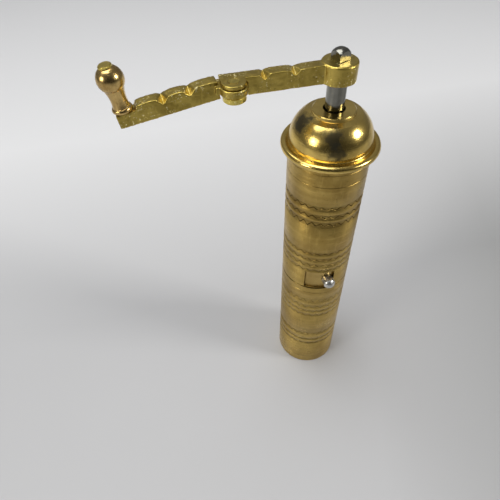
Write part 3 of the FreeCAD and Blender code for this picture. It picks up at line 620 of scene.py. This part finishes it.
barrelLow, barrelHigh = (corner[2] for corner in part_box("barrel_tube"))
barrelSkin = makeBandedTube("barrelSkin", barrelLow, barrelHigh, tubeRadius, barrelBands, barrelLines)
cutNotch(barrelSkin, barrelLow)
finishPiece(barrelSkin, "barrel", "barrel_tube", tubeSettings["smoothAngle"])
print("tubes with bands:", len(receiverSkin.data.polygons), len(barrelSkin.data.polygons), "faces")


# the crank's two cast arms: softened edges and an uneven skin

castSettings = {
    "weld": 0.005 * mm, "grain": 0.22 * mm, "soften": 4, "softenShare": 0.5,
    "lumpSize": 3.2 * mm, "lumpHeight": 0.22 * mm, "lumpMiddle": 0.62, "smoothAngle": 60.0,
}


def makeCasting(name, body, node):
    facts = castSettings
    casting = bpy.data.objects.new(name, nodes[node].data.copy())
    bpy.context.scene.collection.objects.link(casting)
    chooseOnly(casting)
    bpy.ops.object.mode_set(mode="EDIT")
    bpy.ops.mesh.select_all(action="SELECT")
    bpy.ops.mesh.remove_doubles(threshold=facts["weld"])
    bpy.ops.object.mode_set(mode="OBJECT")
    applyModifier(casting, "REMESH", mode="VOXEL", voxel_size=facts["grain"])
    applyModifier(casting, "SMOOTH", factor=facts["softenShare"], iterations=facts["soften"])
    lumps = bpy.data.textures.new(name + "Lumps", "CLOUDS")
    lumps.noise_scale = facts["lumpSize"]
    applyModifier(casting, "DISPLACE", texture=lumps, texture_coords="LOCAL",
                  strength=facts["lumpHeight"], mid_level=facts["lumpMiddle"])
    finishPiece(casting, body, node, facts["smoothAngle"])
    return casting


innerArm = makeCasting("innerArmCasting", "inner_crank", "crank_inner_arm")
outerArm = makeCasting("outerArmCasting", "outer_crank", "crank_outer_arm")
print("castings:", len(innerArm.data.polygons), len(outerArm.data.polygons), "faces")


# table, lights and camera

tableSettings = {
    "size": 6.0, "colour": (0.50, 0.50, 0.51), "roughness": 0.55,
    "cloudScale": 14.0, "cloudDetail": 3.0, "cloudShare": 0.97,
    # painted shade on the near side and painted light at the back: how fast each changes along X and Y,
    # and between which points of that
    "near": (0.34, 0.34, 0.34), "nearShadeSlope": (6.0, -2.0), "nearShadeEdge": [(0.30, 0), (1.0, 1)],
    "far": (0.80, 0.80, 0.81), "backLightSlope": 2.0, "backLightEdge": [(0.10, 0), (0.60, 1)],
}


def makeTable():
    facts = tableSettings
    bpy.ops.object.select_all(action="DESELECT")
    bpy.ops.mesh.primitive_plane_add(size=facts["size"], location=(0, 0, 0))
    table = bpy.context.object
    table.name = "table"
    material, tree, shader = startMaterial("tableTop", metallic=0.0)
    place = objectPlace(tree)
    cloud = noise(tree, place, facts["cloudScale"], facts["cloudDetail"])
    cloudy = (*[part * facts["cloudShare"] for part in facts["colour"]], 1)
    shade = mixColour(tree, cloud, (*facts["colour"], 1), cloudy)
    # painted shade darkens it towards the near right, and painted light makes it lighter at the back
    split = addNode(tree, "ShaderNodeSeparateXYZ", {0: place}).outputs
    across, along = facts["nearShadeSlope"]
    near = calc(tree, "MULTIPLY_ADD", split["X"], across, 0.0)
    near = calc(tree, "MULTIPLY_ADD", split["Y"], along, near, clamp=True)
    shade = mixColour(tree, ramp(tree, near, facts["nearShadeEdge"]), shade, (*facts["near"], 1))
    far = calc(tree, "MULTIPLY_ADD", split["Y"], facts["backLightSlope"], 0.0, clamp=True)
    shade = mixColour(tree, ramp(tree, far, facts["backLightEdge"]), shade, (*facts["far"], 1))
    tree.links.new(shade, shader.inputs["Base Color"])
    shader.inputs["Roughness"].default_value = facts["roughness"]
    table.data.materials.append(material)


lightSettings = {
    "rightWindow": {"place": (0.95, -0.47, 0.70), "aim": (0, 0, 0.12), "size": 0.30, "power": 7.0,
                    "colour": (1.0, 0.99, 0.96)},
    "leftWindow": {"place": (-1.05, -0.41, 0.55), "aim": (0, 0, 0.12), "size": 0.34, "power": 4.5,
                   "colour": (1.0, 0.97, 0.90)},
    "backSky": {"place": (-0.35, 0.20, 1.45), "aim": (0, 0.05, 0.0), "size": 1.1, "power": 15.0,
                "colour": (0.98, 0.99, 1.0)},
}


def makeLights():
    for name, facts in lightSettings.items():
        data = bpy.data.lights.new(name, "AREA")
        data.shape = "SQUARE"
        data.size = facts["size"]
        data.energy = facts["power"]
        data.color = facts["colour"]
        lamp = bpy.data.objects.new(name, data)
        bpy.context.scene.collection.objects.link(lamp)
        lamp.location = facts["place"]
        away = Vector(facts["aim"]) - Vector(facts["place"])
        lamp.rotation_euler = away.to_track_quat("-Z", "Y").to_euler()


worldSettings = {
    "strength": 0.50, "blotchScale": 2.2, "blotchDetail": 2.0,
    # how the brightness grows along Y, with height and in the blotches, from a base
    "base": 0.22, "alongY": 0.34, "upward": 0.30, "blotchy": 0.40,
    "greys": [(0.25, 0.08), (0.55, 0.30), (1.0, 0.60)],
}


def makeWorld():
    # a room that is bright behind the table and dim on the near side
    facts = worldSettings
    world = bpy.data.worlds.new("studio")
    bpy.context.scene.world = world
    world.use_nodes = True
    tree = world.node_tree
    sky = tree.nodes["Background"]
    place = addNode(tree, "ShaderNodeTexCoord").outputs["Generated"]
    split = addNode(tree, "ShaderNodeSeparateXYZ", {0: place}).outputs
    blotches = noise(tree, place, facts["blotchScale"], facts["blotchDetail"])
    lift = calc(tree, "MULTIPLY_ADD", split["Y"], facts["alongY"], facts["base"])
    lift = calc(tree, "MULTIPLY_ADD", split["Z"], facts["upward"], lift)
    lift = calc(tree, "MULTIPLY_ADD", blotches, facts["blotchy"], lift, clamp=True)
    shade = ramp(tree, lift, facts["greys"])
    tree.links.new(shade, sky.inputs["Color"])
    sky.inputs["Strength"].default_value = facts["strength"]


cameraSettings = {
    "place": (-0.0664, -0.1501, 0.2777),
    "direction": (0.12443, 0.65229, -0.74768),
    "roll": -2.59,          # degrees
    "lens": 31.14,          # millimetres, and so is the sensor
    "sensor": 36.0,
}


def makeCamera():
    facts = cameraSettings
    bpy.context.scene.view_settings.view_transform = "Standard"
    data = bpy.data.cameras.new("camera")
    data.lens = facts["lens"]
    data.sensor_width = facts["sensor"]
    camera = bpy.data.objects.new("camera", data)
    bpy.context.scene.collection.objects.link(camera)
    camera.location = facts["place"]
    level = Vector(facts["direction"]).to_track_quat("-Z", "Y")
    roll = Quaternion((0, 0, 1), math.radians(facts["roll"]))
    camera.rotation_mode = "QUATERNION"
    camera.rotation_quaternion = level @ roll
    bpy.context.scene.camera = camera


makeTable()
makeLights()
makeWorld()
makeCamera()
print("table, lights and camera in place")
